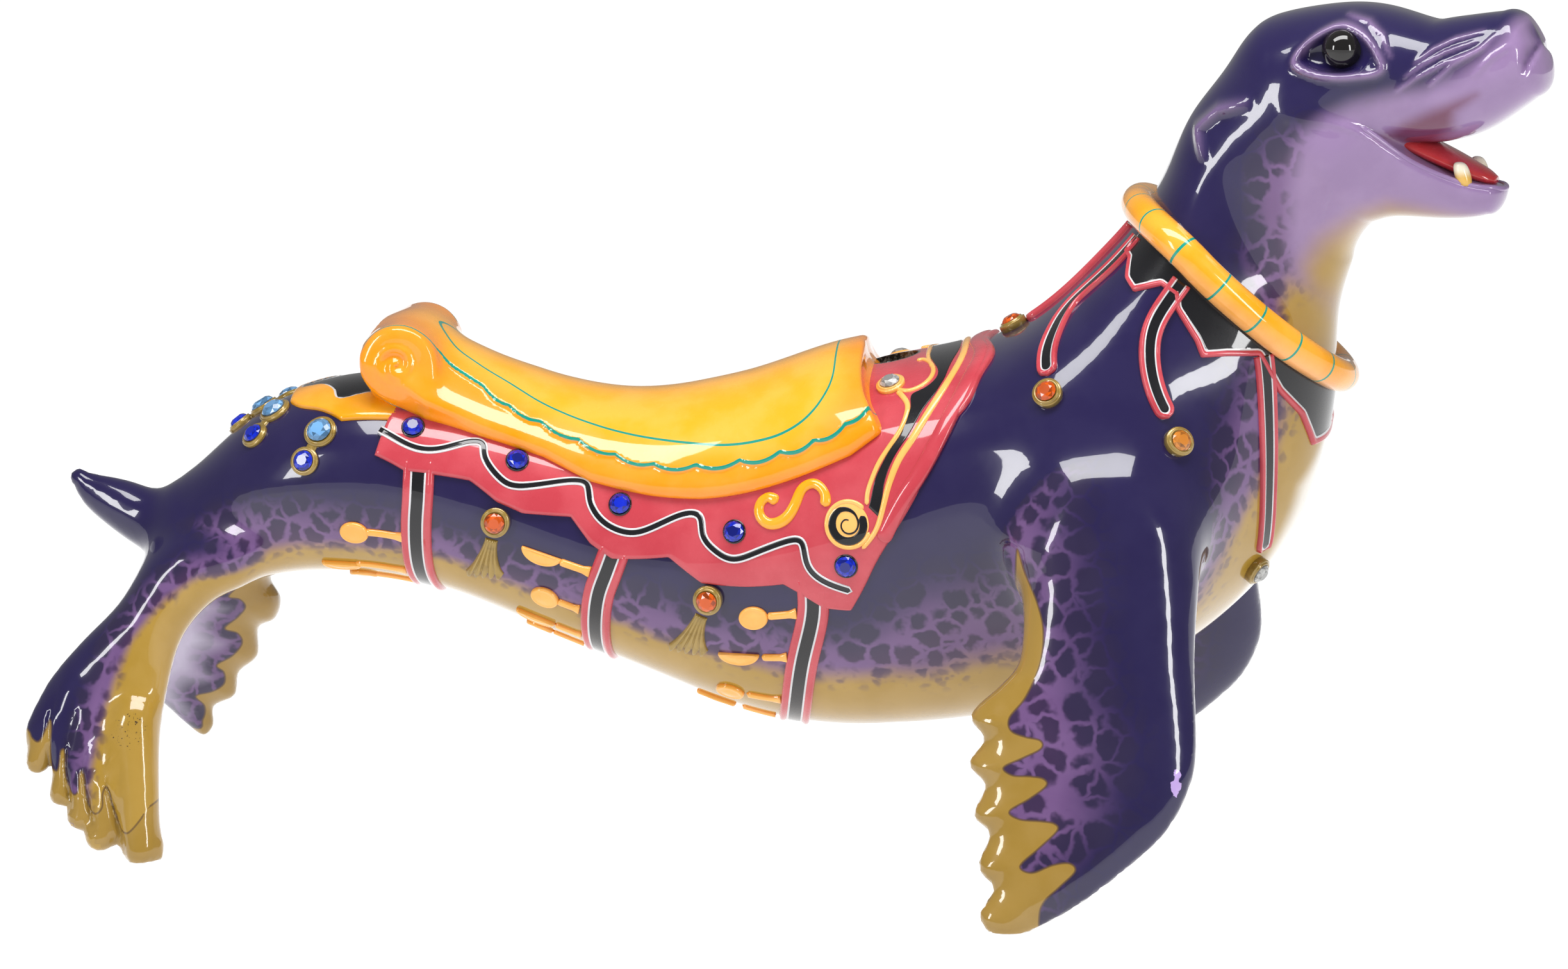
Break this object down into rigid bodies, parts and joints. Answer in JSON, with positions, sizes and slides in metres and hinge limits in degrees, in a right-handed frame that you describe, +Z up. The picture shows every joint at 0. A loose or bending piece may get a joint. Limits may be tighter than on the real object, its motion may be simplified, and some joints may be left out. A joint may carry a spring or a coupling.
{
  "type": "carousel sea lion",
  "caption": "Painted carousel figure of a sea lion with a moulded saddle, blanket and jewelled collar, and an upright bore for its ride pole.",
  "frame": {"origin": "on the floor, under the middle of the figure's outer box", "axes": "+Z up, +X towards the head, +Y to the animal's left"},
  "size_m": [1.6257, 0.7393, 0.9239],
  "materials": {
    "painted_casting": "hand-painted enamel under clear coat",
    "eye_glass": "polished black",
    "stone_blue": "faceted, foil-backed",
    "stone_light_blue": "faceted, foil-backed",
    "stone_orange": "faceted, foil-backed",
    "stone_amber": "faceted, foil-backed",
    "stone_clear": "faceted, foil-backed"
  },
  "bodies": {
    "root": {"Blanket_jewel_1_left": "stone_blue", "Blanket_jewel_1_right": "stone_blue", "Blanket_jewel_2_left": "stone_blue", "Blanket_jewel_2_right": "stone_blue", "Blanket_jewel_3_left": "stone_blue", "Blanket_jewel_3_right": "stone_blue", "Blanket_jewel_4_left": "stone_blue", "Blanket_jewel_4_right": "stone_blue", "Blanket_jewel_5_left": "stone_blue", "Blanket_jewel_5_right": "stone_blue", "Collar_jewel_1_left": "stone_orange", "Collar_jewel_1_right": "stone_orange", "Collar_jewel_2_left": "stone_amber", "Collar_jewel_2_right": "stone_amber", "Collar_jewel_3_left": "stone_clear", "Collar_jewel_3_right": "stone_clear", "Collar_jewel_nape": "stone_orange", "Eye_left": "eye_glass", "Eye_right": "eye_glass", "Pommel_jewel_left": "stone_clear", "Pommel_jewel_right": "stone_clear", "Rump_jewel_1_dark_left": "stone_blue", "Rump_jewel_1_dark_right": "stone_blue", "Rump_jewel_1_light_left": "stone_light_blue", "Rump_jewel_1_light_right": "stone_light_blue", "Rump_jewel_2_dark_left": "stone_blue", "Rump_jewel_2_dark_right": "stone_blue", "Rump_jewel_2_light_left": "stone_light_blue", "Rump_jewel_2_light_right": "stone_light_blue", "Rump_jewel_3_dark": "stone_blue", "Rump_jewel_3_light": "stone_light_blue", "Sea_lion": "painted_casting", "Tassel_jewel_1_left": "stone_orange", "Tassel_jewel_1_right": "stone_orange", "Tassel_jewel_2_left": "stone_orange", "Tassel_jewel_2_right": "stone_orange"}
  },
  "joints": []
}
